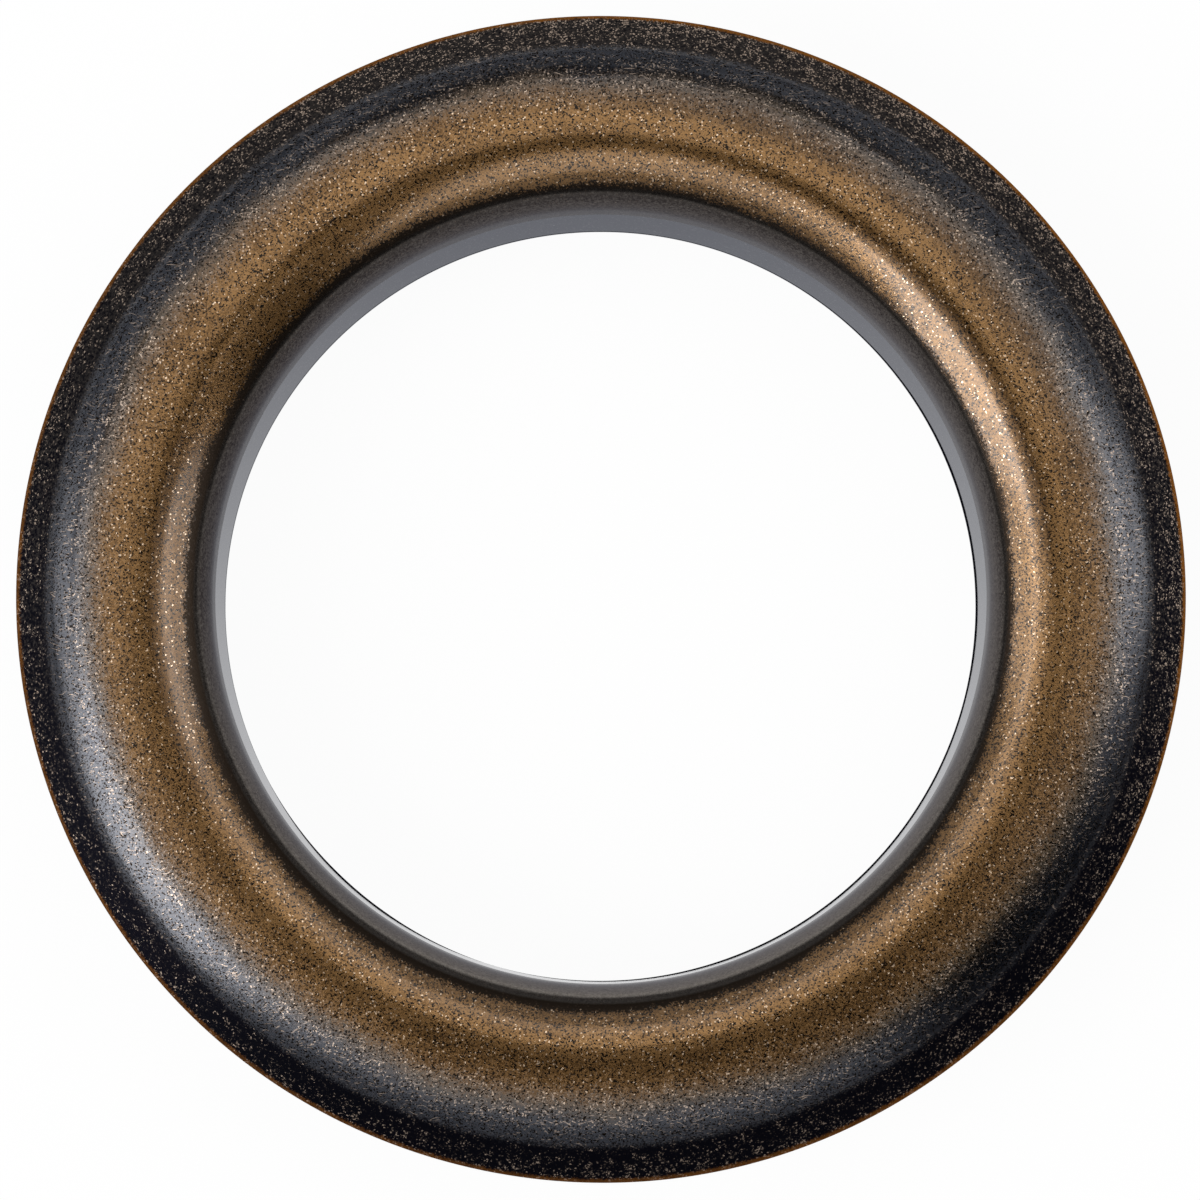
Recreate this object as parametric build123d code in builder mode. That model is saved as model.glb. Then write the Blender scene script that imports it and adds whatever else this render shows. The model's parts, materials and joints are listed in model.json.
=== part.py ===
import os
from math import asin, cos, degrees, radians

from build123d import *

# Eyelet pressed from one sheet: a domed flange with a bevelled rim, rolled over a lip
# into a short straight barrel. It stands on the barrel's cut end, face up, with the
# origin at the centre of that end. Millimetres and degrees.

# Overall sizes
hole_diameter = 40.0
total_height = 11.0  # from the barrel's cut end to the crest of the flange
sheet = 0.45

# The face, from the hole outwards; a slope is the face's angle from level
flare_radius = 7.0  # the barrel opens slowly towards its top
flare_slope = 70.0  # where the flare stops
bend_radius = 1.2  # the tighter bend from the flare into the lip
lip_radius = 3.6  # the roll from the bend up to the crest
lip_slope = 45.0  # where the bend passes into the lip
dome_radius = 20.0
dome_width = 2.8  # a wider dome makes a wider flange
shoulder_radius = 3.95
shoulder_slope = 36.0  # where the shoulder stops at the crease
bevel_slope = 40.0
bevel_width = 2.28

# Cut edges, broken by tumbling
barrel_edge_break = 0.1
rim_face_break = 0.16
rim_back_break = 0.06

# What follows from the sizes above
flare_rise = flare_radius * cos(radians(flare_slope))
bend_rise = bend_radius * (cos(radians(lip_slope)) - cos(radians(flare_slope)))
lip_rise = lip_radius * (1 - cos(radians(lip_slope)))
wall_height = total_height - flare_rise - bend_rise - lip_rise
dome_slope = degrees(asin(dome_width / dome_radius))
bevel_length = bevel_width / cos(radians(bevel_slope))

with BuildPart() as eyelet:
    # Half of the section, right of the axis
    with BuildSketch(Plane.XZ) as section:
        # The face's skin, drawn from the barrel's cut end over the crest to the rim
        with BuildLine() as skin:
            wall = Line((hole_diameter / 2, 0), (hole_diameter / 2, wall_height))
            flare = JernArc(wall @ 1, wall % 1, flare_radius, flare_slope - 90)
            bend = JernArc(flare @ 1, flare % 1, bend_radius, lip_slope - flare_slope)
            lip = JernArc(bend @ 1, bend % 1, lip_radius, -lip_slope)
            dome = JernArc(lip @ 1, lip % 1, dome_radius, -dome_slope)
            shoulder = JernArc(dome @ 1, dome % 1, shoulder_radius, dome_slope - shoulder_slope)
            bevel = PolarLine(shoulder @ 1, bevel_length, -bevel_slope)
            # The sheet's thickness lies behind the skin, under the flange and outside the barrel
            offset(amount=sheet, side=Side.RIGHT)
        make_face()
        barrel_end = section.vertices().group_by(Axis.Y)[0]
        chamfer(barrel_end, barrel_edge_break)
        # The nearest corner to the skin's end is the rim's face edge, the next its back edge
        chamfer(section.vertices().sort_by_distance(bevel @ 1)[1], rim_back_break)
        chamfer(section.vertices().sort_by_distance(bevel @ 1)[0], rim_face_break)
    revolve(axis=Axis.Z)

eyelet.part.label = "eyelet"

box = eyelet.part.bounding_box()
print(f"flange diameter {box.size.X:.2f}, height {box.size.Z:.2f}, barrel wall {wall_height:.2f}")

os.makedirs("parts", exist_ok=True)
export_step(eyelet.part, "parts/eyelet.step")
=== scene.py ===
# Large antique brass eyelet, dressed for a product shot: one pressed ring, face up on a pale table.
import json
import math

import bpy
import numpy as np
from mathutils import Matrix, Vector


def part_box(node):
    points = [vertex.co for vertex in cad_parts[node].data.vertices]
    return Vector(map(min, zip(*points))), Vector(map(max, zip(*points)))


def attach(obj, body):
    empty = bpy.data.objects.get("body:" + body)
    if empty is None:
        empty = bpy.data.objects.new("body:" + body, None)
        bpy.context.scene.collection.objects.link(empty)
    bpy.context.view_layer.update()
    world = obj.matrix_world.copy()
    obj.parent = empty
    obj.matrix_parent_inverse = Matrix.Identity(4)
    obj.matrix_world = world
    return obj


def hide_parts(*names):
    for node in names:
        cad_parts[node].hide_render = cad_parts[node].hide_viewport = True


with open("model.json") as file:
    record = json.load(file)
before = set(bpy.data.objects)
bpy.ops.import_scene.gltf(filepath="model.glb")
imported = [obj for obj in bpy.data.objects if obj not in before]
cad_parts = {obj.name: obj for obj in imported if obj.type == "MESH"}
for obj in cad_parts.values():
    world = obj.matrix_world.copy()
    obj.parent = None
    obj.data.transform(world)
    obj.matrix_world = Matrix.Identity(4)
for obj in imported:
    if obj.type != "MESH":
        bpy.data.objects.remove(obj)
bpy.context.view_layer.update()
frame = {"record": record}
mounts = {mount["name"]: mount for mount in frame["record"]["mounts"]}
boxLow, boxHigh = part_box("eyelet")
print("frame loaded, box in mm:", [round(side * 1000, 2) for side in boxHigh - boxLow])

mm = 0.001


class Wire:
    # One socket of a node tree. Sums on wires add Math nodes, so shader maths reads as plain sums.
    def __init__(self, finish, socket):
        self.finish = finish
        self.socket = socket

    def sum(self, operation, first, second):
        return self.finish.node("ShaderNodeMath", {"operation": operation}, {0: first, 1: second})

    def __add__(self, other):
        return self.sum("ADD", self, other)

    __radd__ = __add__

    def __mul__(self, other):
        return self.sum("MULTIPLY", self, other)

    __rmul__ = __mul__

    def __sub__(self, other):
        return self.sum("SUBTRACT", self, other)

    def __rsub__(self, other):
        return self.sum("SUBTRACT", other, self)

    def __neg__(self):
        return self.sum("MULTIPLY", self, -1.0)

    def __pow__(self, other):
        return self.sum("POWER", self, other)

    def atLeast(self, other):
        return self.sum("MAXIMUM", self, other)

    def atMost(self, other):
        return self.sum("MINIMUM", self, other)

    def beside(self, name):
        # another output of the same node
        return Wire(self.finish, self.socket.node.outputs[name])


class Finish:
    # A material or world under construction: node() adds any node, settings first, then its sockets.
    def __init__(self, owner):
        owner.use_nodes = True
        self.owner = owner
        self.tree = owner.node_tree
        self.tree.nodes.clear()

    def node(self, kind, settings=None, sockets=None, out=0):
        made = self.tree.nodes.new(kind)
        for name, value in (settings or {}).items():
            setattr(made, name, value)
        for name, value in (sockets or {}).items():
            if isinstance(value, Wire):
                self.tree.links.new(value.socket, made.inputs[name])
            else:
                made.inputs[name].default_value = value
        return Wire(self, made.outputs[out]) if made.outputs else made

    def mix(self, first, second, amount):
        # colour mix; the sockets of a Mix node of colours are 6, 7 and result 2
        kind = {"data_type": "RGBA", "blend_type": "MIX"}
        return self.node("ShaderNodeMix", kind, {0: amount, 6: first, 7: second}, 2)

    def split(self, kind, value):
        parts = self.node(kind, {}, {0: value}).socket.node.outputs
        return [Wire(self, part) for part in parts]

    def noise(self, place, scale, detail, rough=0.5):
        sockets = {"Vector": place, "Scale": scale, "Detail": detail, "Roughness": rough}
        return self.node("ShaderNodeTexNoise", {}, sockets)

    def ease(self, value, low, high):
        # 0 below low, 1 above high, smooth between; low above high turns it round
        return self.node("ShaderNodeMapRange", {"interpolation_type": "SMOOTHSTEP"},
                         {"Value": value, "From Min": low, "From Max": high})

    def close(self, shader):
        isWorld = isinstance(self.owner, bpy.types.World)
        kind = "ShaderNodeOutputWorld" if isWorld else "ShaderNodeOutputMaterial"
        self.node(kind, {}, {"Surface": shader})


# The ring

ring = {
    "holeRadius": mounts["hole"]["dims"]["r_mm"] * mm,
    "flangeRadius": boxHigh[0],
    "height": boxHigh[2],
    "sheet": (mounts["barrel"]["dims"]["r_mm"] - mounts["hole"]["dims"]["r_mm"]) * mm,
    "flareRadius": 7.0 * mm,    # the barrel opens slowly at first,
    "flareSlope": 70.0,         # in degrees, as all slopes,
    "bendRadius": 1.2 * mm,     # and then bends over to the lip
    "lipRadius": 3.9 * mm,      # roll up to the crest
    "lipSlope": 45.0,
    "domeRadius": 18.5 * mm,
    "domeWidth": 2.6 * mm,
    "shoulderRadius": 3.95 * mm,
    "shoulderSlope": 36.0,
    "creaseRadius": 0.6 * mm,   # the press leaves the crease a little soft
    "bevelSlope": 40.0,
    "barrelEdge": 0.1 * mm,
    "burr": 0.055 * mm,         # how far the cut end leans inwards, at most
    "burrHeight": 0.30 * mm,
    "burrSides": ((8, 45), (230, 17), (300, 35)),  # direction and half width of each burred stretch
    "rimFace": 0.16 * mm,
    "rimBack": 0.06 * mm,
    "around": 800,              # vertices round the ring
    "rimWave": 0.012 * mm,      # how far the blanked rim strays from a true circle
    "waveShift": 90,            # vertices between its straying outwards and upwards
    "seed": 7,
}


# A path of straight runs and tangent arcs. A run moves by its length along the heading; an arc
# of radius R turns the heading from a to b, and moves by R (sin b - sin a, cos a - cos b) for a
# left turn and by the negative of that for a right turn.
def walkPath(start, heading, steps):
    corner = np.array(start, dtype=float)
    points = []
    for reach, turn, parts in steps:
        share = np.linspace(0.0, 1.0, parts + 1)
        angles = heading + math.radians(turn) * share
        if turn == 0:
            moved = np.outer(share * reach, (math.cos(heading), math.sin(heading)))
        else:
            side = math.copysign(reach, turn)
            moved = side * np.stack((np.sin(angles) - math.sin(heading),
                                     math.cos(heading) - np.cos(angles)), axis=1)
        points.append(corner + moved[:-1])
        corner = corner + moved[-1]
        heading = angles[-1]
    return np.concatenate(points)


# The ring's closed section in (radius, height): up the barrel's inside, over the lip and crest,
# down the bevel, round the cut rim, and back along the underside one sheet away. Each step is a
# length or radius, a turn in degrees and a number of parts.
def ringSection(size):
    flare, lip, shoulder, bevel = (math.radians(size[name]) for name in
                                   ("flareSlope", "lipSlope", "shoulderSlope", "bevelSlope"))
    domeSlope = math.degrees(math.asin(size["domeWidth"] / size["domeRadius"]))
    flareTurn = 90 - size["flareSlope"]
    bendTurn = size["flareSlope"] - size["lipSlope"]
    shoulderTurn = size["shoulderSlope"] - domeSlope
    creaseTurn = size["bevelSlope"] - size["shoulderSlope"]
    rise = (size["flareRadius"] * math.cos(flare)
            + size["bendRadius"] * (math.cos(lip) - math.cos(flare))
            + size["lipRadius"] * (1 - math.cos(lip)))
    wall = size["height"] - rise - size["barrelEdge"]
    crestRadius = (size["holeRadius"] + size["flareRadius"] * (1 - math.sin(flare))
                   + size["bendRadius"] * (math.sin(flare) - math.sin(lip))
                   + size["lipRadius"] * math.sin(lip))
    creaseEnd = (crestRadius + size["domeWidth"]
                 + size["shoulderRadius"] * (math.sin(shoulder) - math.sin(math.radians(domeSlope)))
                 + size["creaseRadius"] * (math.sin(bevel) - math.sin(shoulder)))
    rimReach = size["rimFace"] * (1 - math.sin(bevel))
    slant = (size["flangeRadius"] - creaseEnd - rimReach) / math.cos(bevel)
    sheet = size["sheet"]
    face = [
        (size["burrHeight"] - size["barrelEdge"], 0, 2),
        (size["burr"] * 2, 0, 2),
        (wall - size["burrHeight"] + size["barrelEdge"] - size["burr"] * 2, 0, 7),
        (size["flareRadius"], -flareTurn, 8),
        (size["bendRadius"], -bendTurn, 5),
        (size["lipRadius"], -size["lipSlope"], 14),
        (size["domeRadius"], -domeSlope, 9),
        (size["shoulderRadius"], -shoulderTurn, 10),
        (size["creaseRadius"], -creaseTurn, 2),
        (slant, 0, 8),
        (size["rimFace"], -90, 5),
    ]
    back = [
        (sheet - size["rimFace"] - size["rimBack"], 0, 2),
        (size["rimBack"], -90, 3),
        (slant + size["rimFace"] - size["rimBack"], 0, 5),
        (size["creaseRadius"] - sheet, creaseTurn, 1),
        (size["shoulderRadius"] - sheet, shoulderTurn, 6),
        (size["domeRadius"] - sheet, domeSlope, 5),
        (size["lipRadius"] - sheet, size["lipSlope"], 7),
        (size["bendRadius"] - sheet, bendTurn, 3),
        (size["flareRadius"] - sheet, flareTurn, 5),
        (wall, 0, 6),
        (size["barrelEdge"], -90, 3),
        (sheet - 2 * size["barrelEdge"], 0, 2),
        (size["barrelEdge"], -90, 3),
    ]
    return walkPath((size["holeRadius"], size["barrelEdge"]), math.pi / 2, face + back)


# The section carried round the axis: vertex (i, j) is section point j turned by angle i. The rim
# strays from its circle by a few low waves, which fade out towards the hole, and the barrel's cut
# end leans inwards on its burred sides.
def makeRing(size):
    points = ringSection(size)
    draw = np.random.default_rng(size["seed"])
    angle = np.linspace(0, 2 * math.pi, size["around"], endpoint=False)
    waves = np.arange(2, 9)     # to a turn
    phase = draw.uniform(0, 2 * math.pi, len(waves))
    stray = (np.sin(np.outer(angle, waves) + phase) / np.sqrt(waves)).sum(axis=1) * size["rimWave"]
    radius, height = points[:, 0], points[:, 1]
    width = size["flangeRadius"] - size["holeRadius"]
    towardsRim = np.clip((radius - size["holeRadius"]) / width, 0, 1) ** 3
    grown = radius[None, :] + stray[:, None] * towardsRim[None, :]
    lifted = height[None, :] + np.roll(stray, size["waveShift"])[:, None] * towardsRim[None, :]
    # the burr is full in the middle of its stretch, and gone 1.3 half widths from there
    compass = np.degrees(angle)
    burred = sum(np.clip(1.3 - abs((compass - middle + 180) % 360 - 180) / half, 0, 1)
                 for middle, half in size["burrSides"])
    slack = 0.0001 * mm         # for rounding
    inner = (radius < size["holeRadius"] + slack) & (height < size["burrHeight"] + slack)
    grown = grown - size["burr"] * burred[:, None] * inner[None, :]
    across, along = np.cos(angle)[:, None], np.sin(angle)[:, None]
    corners = np.stack((grown * across, grown * along, lifted), axis=2)
    turns, stops = grown.shape
    i, j = np.meshgrid(np.arange(turns), np.arange(stops), indexing="ij")
    here = i * stops
    there = (i + 1) % turns * stops
    ahead = (j + 1) % stops
    quads = np.stack((here + j, here + ahead, there + ahead, there + j), axis=2)
    mesh = bpy.data.meshes.new("eyelet_ring")
    mesh.from_pydata(corners.reshape(-1, 3), [], quads.reshape(-1, 4))
    mesh.polygons.foreach_set("use_smooth", np.ones(len(mesh.polygons), dtype=bool))
    mesh.update()
    piece = bpy.data.objects.new("eyelet_ring", mesh)
    bpy.context.scene.collection.objects.link(piece)
    return piece


eyelet = makeRing(ring)
print("ring made,", len(eyelet.data.polygons) * 2, "triangles")


# The antique finish. Radii and heights in mm, colours linear.

patina = {
    "brown": (0.104, 0.049, 0.010, 1),
    "copperAndPaintedLight": (0.285, 0.150, 0.050, 1),
    "glint": (0.900, 0.680, 0.480, 1),       # the few grains that catch the light
    "pitAndPaintedShade": (0.010, 0.007, 0.005, 1),
    "toner": (0.006, 0.008, 0.013, 1),       # black sprayed over the shoulder
    "thinToner": (0.041, 0.031, 0.017, 1),   # where the brown still shows through
    "sootAndPaintedShade": (0.006, 0.006, 0.009, 1),        # where the black lies thick on the bevel; on the burr it is painted shade
    "bevelHazeAndPaintedLight": (0.044, 0.039, 0.036, 1),
    "bevelGrain": (0.560, 0.440, 0.350, 1),  # metal rubbed through the black
    "rimCopper": (0.250, 0.095, 0.017, 1),   # bare metal along the cut edge
    "lipLine": (0.036, 0.026, 0.019, 1),
    # the throat: dark at its top, then grey lower down as a painted reflection of the table
    "throatDark": (0.048, 0.042, 0.038, 1),
    "paintedReflectionGrey": (0.270, 0.245, 0.220, 1),
    "barrel": (0.078, 0.081, 0.092, 1),
    "sheenTint": (0.360, 0.367, 0.400, 1),
    "gloss": 0.235,                          # roughness of the brown
    # radii where a finish starts and where it is full
    "shoulderTone": (24.0, 27.4),
    "thickToner": (25.8, 27.0),
    "bevelTone": (27.73, 28.23),
    "rimWorn": (29.72, 29.86),
    "paintedShadeBand": (23.9, 25.2),
    "specksWithin": (28.0, 26.6),
    "paintedShadeWithin": (27.4, 26.7),
    "lacquer": (22.8, 22.0),
    "lipTone": (21.36, 20.80),
    "throatSmooth": (20.80, 20.62),
    "paintedReflectionBand": (20.62, 19.95),
    # and heights above the table
    "barrelTop": (5.96, 5.64),
    # the band on the burr that is painted black as shade
    "burrShadeTop": (0.46, 0.40),
    "burrShadeFoot": (0.24, 0.30),
    # each noise: lumps to a millimetre, detail, roughness
    "fine": (6.0, 3.0, 0.7),
    "mottle": (1.8, 3.0, 0.6),
    "cloud": (0.25, 3.0, 0.55),
    "grainSize": 0.070,
    "relief": 0.0045 * mm,                   # how far the grain stands out, in metres
    # hairline scratches: direction in radians, length, width, and the share of places without one
    "scratches": ((0.4, 0.30, 0.035, 0.965), (1.5, 0.22, 0.030, 0.965), (2.5, 0.5, 0.04, 0.975)),
}


# Hairline scratches are the cells of a space that is stretched and turned, of which few show.
def makeScratches(f, place, scratches):
    scratched = 0
    sway = f.noise(place, 0.7, 1.0).beside("Color")
    swayed = f.node("ShaderNodeVectorMath", {"operation": "MULTIPLY_ADD"},
                    {0: sway, 1: (1.2, 1.2, 0), 2: place})
    for turn, length, width, share in scratches:
        turned = f.node("ShaderNodeMapping", {"vector_type": "POINT"}, {
            "Vector": swayed, "Rotation": (0, 0, turn), "Scale": (1 / length, 1 / width, 0.2)})
        dashes = f.node("ShaderNodeTexVoronoi", {"voronoi_dimensions": "2D"},
                        {"Vector": turned, "Scale": 1.0})
        chance, strength = f.split("ShaderNodeSeparateColor", dashes.beside("Color"))[:2]
        core = f.ease(dashes, 0.55, 0.25)
        scratched = f.ease(chance, share, share + 0.01) * core * (strength * 0.8 + 0.2) + scratched
    return scratched


def makePatina(look):
    f = Finish(bpy.data.materials.new("antiqueBrass"))
    place = f.node("ShaderNodeTexCoord").beside("Object")
    inMm = f.node("ShaderNodeVectorMath", {"operation": "SCALE"}, {0: place, "Scale": 1000.0})
    x, y, z = f.split("ShaderNodeSeparateXYZ", inMm)
    radius = (x * x + y * y) ** 0.5
    below = (-y).atLeast(0)     # how far towards the picture's foot

    # grains: every cell has three random numbers of its own, and a dome
    dome = f.node("ShaderNodeTexVoronoi", {}, {"Vector": inMm, "Scale": 1 / look["grainSize"]})
    shade, sparkle, grain = f.split("ShaderNodeSeparateColor", dome.beside("Color"))
    fine, mottle, cloud = (f.noise(inMm, *look[name]) for name in ("fine", "mottle", "cloud"))
    # streaks run round the ring, as their noise changes fast across the section and slowly round it
    squeezed = f.node("ShaderNodeCombineXYZ", {}, {0: x * 0.1, 1: y * 0.1, 2: (radius + z) * 4.0})
    streaks = f.noise(squeezed, 1.0, 3.0)
    scratched = makeScratches(f, inMm, look["scratches"])
    # the same about nought, to shift a border to and fro
    byFine, byMottle, byCloud, byGrain, byStreaks = (
        value - 0.5 for value in (fine, mottle, cloud, grain, streaks))

    def towards(degrees):
        # how far a place lies that way from the axis, 0 to the right and 90 up the picture
        return x * math.cos(math.radians(degrees)) + y * math.sin(math.radians(degrees))

    def ringAt(middle, spread):
        # 1 along a circle, fading to 0 on both sides; spread is the square of its reach
        return f.ease((radius - middle) ** 2, spread, 0.0)

    # where the black lies: sprayed from outside over the shoulder, and over the lip into the barrel
    sprayed = f.ease(radius + byCloud * 1.4 + byMottle * 0.8 - y * 0.003, *look["shoulderTone"])
    shoulder = f.ease(sprayed + byGrain * 0.4 + byFine * 0.9, 0.08, 0.92)
    lipward = radius + y * 0.0075 + x * 0.006 - below * 0.004 + byMottle * 0.45 + byCloud * 0.4
    throat = f.ease(f.ease(lipward, *look["lipTone"]) + byGrain * 0.8, 0.3, 0.7)
    bevel = f.ease(radius + x.atMost(0) * 0.007 + byFine * 0.5 + byGrain * 0.25, *look["bevelTone"])
    dark = bevel.atLeast(throat)
    smooth = f.ease(radius - below * 0.008 + byFine * 0.1, *look["throatSmooth"])
    barrel = smooth * f.ease(z, *look["barrelTop"])
    # painted shade: a black band on the burr's ramp at the foot of the barrel
    burr = f.ease(z, *look["burrShadeTop"]) * f.ease(z, *look["burrShadeFoot"]) * barrel
    worn = f.ease(radius + byFine * 0.3 + byGrain * 0.1, *look["rimWorn"])

    # the brown ring: copper mottle, with painted light that lightens it at the top, towards the foot, on
    # the crest and on the lip's upper left, and painted shade that darkens the lip to the upper right and
    # to the left; a few glints, black pits and a painted shade towards the upper right
    # painted light and shade: these bands make the brown more or less coppery by direction
    paintedLightAtTop = ringAt(24.15, 0.3) * f.ease(y, 6.0, 20.0) * 0.12
    paintedLightAtFoot = ringAt(23.2, 0.25) * below * 0.009
    paintedLightOnCrest = ringAt(23.4, 0.25) * (f.ease(towards(30), 10.0, 19.0) * 0.26 + 0.07)
    paintedLightAndShadeOnLip = f.ease(towards(120), 14.0, 21.0) * 0.18 - f.ease(towards(30), 19.0, 22.0) * 0.25
    paintedLightAndShadeOnLip = (paintedLightAndShadeOnLip - f.ease(-x, 18.0, 21.5) * 0.26 + 0.06) * f.ease(radius, 23.2, 22.7)
    paintedLightOnBrown = paintedLightAtTop + paintedLightAtFoot + paintedLightOnCrest + paintedLightAndShadeOnLip
    mottleAndPaintedLight = fine * 0.7 + mottle * 0.2 + grain * 0.25 + byCloud * 0.4 + paintedLightOnBrown
    brown = f.mix(look["brown"], look["copperAndPaintedLight"], f.ease(mottleAndPaintedLight, 0.38, 0.78))
    brown = f.mix(brown, look["glint"], f.ease(sparkle, 0.95, 0.99) * 0.85)
    pits = f.ease(shade + byFine * 0.4, 0.36, 0.10)
    brown = f.mix(brown, look["pitAndPaintedShade"], pits)
    # painted shade: the brown darkens towards the upper right between these radii, in the pits' colour
    paintedShadeUpperRight = f.ease(radius, *look["paintedShadeBand"]) * f.ease(towards(50), 15.0, 23.0) * 0.42
    brown = f.mix(brown, look["pitAndPaintedShade"], paintedShadeUpperRight)

    # the shoulder: thin black, then full black, with specks and scratches through it
    specks = f.ease(sparkle * 0.7 + fine * 0.6 + byMottle * 0.4, 0.90, 1.06)
    specks = specks * f.ease(radius, *look["specksWithin"])
    bright = (specks * 0.75 + scratched * 0.8).atMost(1.0)
    toned = f.mix(look["thinToner"], look["toner"], f.ease(radius + byCloud * 1.5, *look["thickToner"]))
    toned = f.mix(f.mix(toned, look["pitAndPaintedShade"], pits), look["bevelGrain"], bright)
    colour = f.mix(brown, toned, shoulder)

    # the bevel: haze and rubbed grains in thick black; that both grow towards the top, and the grains
    # thin out to the left, the right and the foot, is painted light
    edgeGrainAndPaintedLight = sparkle * 0.55 + fine * 0.6 + byMottle * 0.5 + (radius - 29) * 0.04
    edgeGrainAndPaintedLight = edgeGrainAndPaintedLight + y * 0.001 + x.atMost(0) * 0.0022
    edgeGrainAndPaintedLight = (f.ease(edgeGrainAndPaintedLight, 0.72, 0.97) * (shade * 2.0 + 0.10)).atMost(1.0)
    edgeGrainAndPaintedLight = edgeGrainAndPaintedLight * (1.10 + y * 0.012 - x.atLeast(0) * 0.008)
    black = f.mix(look["sootAndPaintedShade"], look["bevelHazeAndPaintedLight"], f.ease(fine + y * 0.006, 0.42, 0.72))
    black = f.mix(f.mix(black, look["lipLine"], throat), look["bevelGrain"], edgeGrainAndPaintedLight * bevel)

    # the throat: a painted reflection, grey that lightens on its way down to the smooth barrel, more so
    # towards the right and less at the top; the barrel's burr is painted black as shade
    paintedThroatReflection = f.ease(radius + y * 0.006 + byStreaks * 0.12, *look["paintedReflectionBand"])
    paintedThroatReflection = paintedThroatReflection * (0.50 + (y + 8).atMost(0) * 0.02 + x * 0.008)
    paintedThroatReflection = paintedThroatReflection + below * 0.025 + byFine * 0.7 + byGrain * 0.3
    black = f.mix(black, f.mix(look["throatDark"], look["paintedReflectionGrey"], paintedThroatReflection), smooth)
    colour = f.mix(colour, black, dark)
    colour = f.mix(colour, look["barrel"], barrel)
    # painted shade on the burr
    colour = f.mix(colour, look["sootAndPaintedShade"], burr)
    colour = f.mix(colour, look["rimCopper"], worn * (mottle * 0.6 + 0.36 + y * 0.007 + x * 0.005))

    # gloss: black that is wiped counts as metal, so that it loses its white sheen; painted shade does the
    # same to the black towards the top, the foot and the lower right
    wiped = f.ease(streaks, 0.40, 0.66) * f.ease(y - x * 0.4, -4.0, 12.0)
    paintedShadeByMetal = f.ease(y - x * 0.2, 2.0, 13.0) * 0.55 + f.ease(-y, 13.0, 24.0) * 0.42
    paintedShadeByMetal = paintedShadeByMetal * f.ease(radius, *look["paintedShadeWithin"]) + f.ease(towards(-30), 22.8, 26.5) * 0.75
    paintedShadeByMetal = (paintedShadeByMetal + wiped * 0.4) * shoulder
    metal = ((1 - shoulder) * 0.85).atLeast(dark).atLeast(paintedShadeByMetal).atLeast(pits).atLeast(bright * shoulder)
    rough = look["gloss"] + shoulder * 0.035 + dark * 0.15 - smooth * 0.10 - barrel * 0.20 + burr * 0.50
    lacquer = (f.ease(radius, *look["lacquer"]) * 0.42 + 0.12) * (1 - dark) * (1 - shoulder)
    height = (fine * 0.7 + dome * 0.8) * (1 - smooth * 0.95)
    relief = f.node("ShaderNodeBump", {}, {"Strength": 0.8, "Distance": look["relief"], "Height": height})
    f.close(f.node("ShaderNodeBsdfPrincipled", {}, {
        "Base Color": colour,
        "Metallic": metal,
        "Roughness": rough,
        "IOR": 2.0,
        "Specular IOR Level": 1.0,
        "Specular Tint": look["sheenTint"],
        "Coat Weight": lacquer,
        "Coat Roughness": 0.16,
        "Coat IOR": 1.7,
        "Normal": relief,
    }))
    return f.owner


eyelet.data.materials.append(makePatina(patina))
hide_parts("eyelet")
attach(eyelet, "root")
print("finish made")


# The table, the lamps and the air

studio = {
    "floorSide": 6.0,
    "floorTop": -0.02 * mm,     # a hair below the barrel's end, so the two never lie in one plane
    "floorColour": (0.80, 0.80, 0.80, 1),
    "floorGlow": 0.95,          # how much of the table's white a camera or a reflection sees by itself
    "cardColour": (0.01, 0.01, 0.01, 1),
    "airTop": (0.45, 0.45, 0.45, 1),    # air towards the top of the picture,
    "airFoot": (0.30, 0.30, 0.30, 1),   # towards its foot,
    "airLow": (0.06, 0.06, 0.07, 1),    # and near the table, where it fades between
    "airBand": (0.06, 0.47),            # these heights, 1 being overhead
    # each lamp: watts, width and height in metres, compass direction, elevation, distance
    "lamps": {
        "keyLamp": (2.88, (0.315, 0.64), 206, 38.5, 0.7),
        "keyWing": (0.9, (0.30, 0.60), 176, 36, 0.7),
        "sideLamp": (1.30, (0.36, 0.68), 5, 38, 0.7),
        "overheadLamp": (6.4, (1.50, 1.55), 270, 85, 0.8),
    },
    # each dark card: width and height, compass direction, elevation, distance
    "cards": {
        "overheadShade": ((0.31, 0.32), 270, 86.0, 0.75),
        "sideShade": ((0.31, 0.76), 326, 42, 0.6),
    },
}


# A flat rectangle about its own origin, facing up.
def makeSheet(name, wide, tall, top=0.0):
    x, y = wide / 2, tall / 2
    mesh = bpy.data.meshes.new(name)
    mesh.from_pydata([(-x, -y, top), (x, -y, top), (x, y, top), (-x, y, top)], [], [(0, 1, 2, 3)])
    thing = bpy.data.objects.new(name, mesh)
    bpy.context.scene.collection.objects.link(thing)
    return thing


def makeFloor(look):
    table = makeSheet("table", look["floorSide"], look["floorSide"], look["floorTop"])
    f = Finish(bpy.data.materials.new("paleTable"))
    seen = f.node("ShaderNodeLightPath")
    looks = seen.beside("Is Camera Ray").atLeast(seen.beside("Is Glossy Ray"))
    looks = looks.atLeast(seen.beside("Is Transmission Ray"))
    matt = f.node("ShaderNodeBsdfDiffuse", {}, {"Color": look["floorColour"]})
    white = f.node("ShaderNodeEmission", {}, {"Color": (1, 1, 1, 1), "Strength": 1.0})
    f.close(f.node("ShaderNodeMixShader", {}, {0: looks * look["floorGlow"], 1: matt, 2: white}))
    table.data.materials.append(f.owner)


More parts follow.
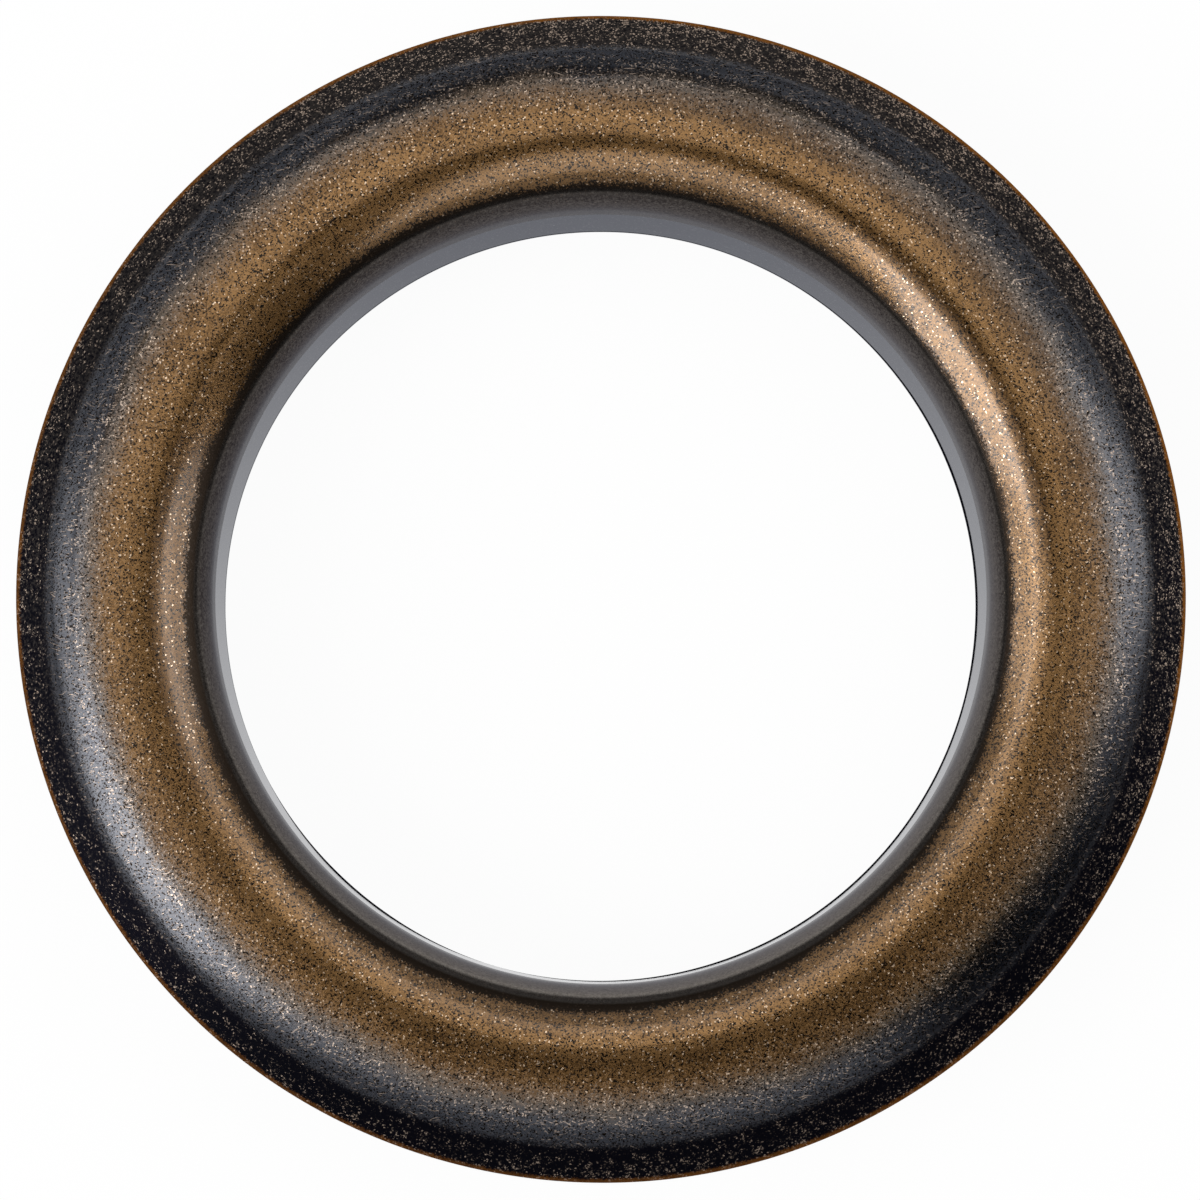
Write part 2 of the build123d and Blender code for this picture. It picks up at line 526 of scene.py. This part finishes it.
# A lamp or card at a compass direction and a height above the table, both in degrees, facing the ring.
def aim(thing, azimuth, elevation, distance):
    a, e = math.radians(azimuth), math.radians(elevation)
    level = distance * math.cos(e)
    thing.location = (level * math.cos(a), level * math.sin(a), distance * math.sin(e))
    thing.rotation_mode = "XYZ"
    thing.rotation_euler = (math.radians(90) - e, 0, a + math.radians(90))


def makeLamp(name, power, size, azimuth, elevation, distance):
    lamp = bpy.data.lights.new(name, "AREA")
    lamp.shape = "RECTANGLE"
    lamp.size, lamp.size_y = size
    lamp.energy = power
    thing = bpy.data.objects.new(name, lamp)
    bpy.context.scene.collection.objects.link(thing)
    aim(thing, azimuth, elevation, distance)


def makeCard(name, colour, size, azimuth, elevation, distance):
    card = makeSheet(name, *size)
    aim(card, azimuth, elevation, distance)
    f = Finish(bpy.data.materials.new(name))
    f.close(f.node("ShaderNodeBsdfDiffuse", {}, {"Color": colour}))
    card.data.materials.append(f.owner)
    card.visible_camera = False


def makeAir(look):
    air = Finish(bpy.data.worlds.new("studioAir"))
    x, y, z = air.split("ShaderNodeSeparateXYZ", air.node("ShaderNodeTexCoord"))
    grey = air.mix(look["airFoot"], look["airTop"], air.ease(y, -1.0, 1.0))
    grey = air.mix(look["airLow"], grey, air.ease(z, *look["airBand"]))
    air.close(air.node("ShaderNodeBackground", {}, {"Color": grey, "Strength": 1.0}))
    bpy.context.scene.world = air.owner


makeFloor(studio)
for name, setting in studio["lamps"].items():
    makeLamp(name, *setting)
for name, setting in studio["cards"].items():
    makeCard(name, studio["cardColour"], *setting)
makeAir(studio)
print("studio made")


# The camera

view = {
    "heightAboveTable": 215 * mm,
    "lean": 4.0,                # degrees off straight down
    "imageSide": 1200,          # px
    "rimRadiusPx": 585.2,       # the rim's circle in the picture,
    "rimCentrePx": (601.0, 593.3),
    "rimHeight": 8.26 * mm,     # and how high it lies above the table
    "sensor": 36.0,             # mm wide
}


# The rim has its known size in the picture, which gives the length of a pixel at its height. The
# camera stands so far back along its leaning axis that the axis meets the picture's middle there.
def makeCamera(look):
    lean = math.radians(look["lean"])
    pxSize = ring["flangeRadius"] / look["rimRadiusPx"]
    middle = look["imageSide"] / 2
    aimX = (middle - look["rimCentrePx"][0]) * pxSize
    aimY = (look["rimCentrePx"][1] - middle) * pxSize
    away = (look["heightAboveTable"] - look["rimHeight"]) / math.cos(lean)
    data = bpy.data.cameras.new("camera")
    data.sensor_width = look["sensor"]
    data.lens = look["sensor"] * away / (look["imageSide"] * pxSize)
    data.clip_start = 0.01
    data.clip_end = 20
    camera = bpy.data.objects.new("camera", data)
    bpy.context.scene.collection.objects.link(camera)
    camera.location = (aimX, aimY - away * math.sin(lean), look["heightAboveTable"])
    camera.rotation_euler = (lean, 0, 0)
    bpy.context.scene.camera = camera
    print("camera made, lens", round(data.lens, 1))


makeCamera(view)
bpy.context.scene.view_settings.view_transform = "Standard"
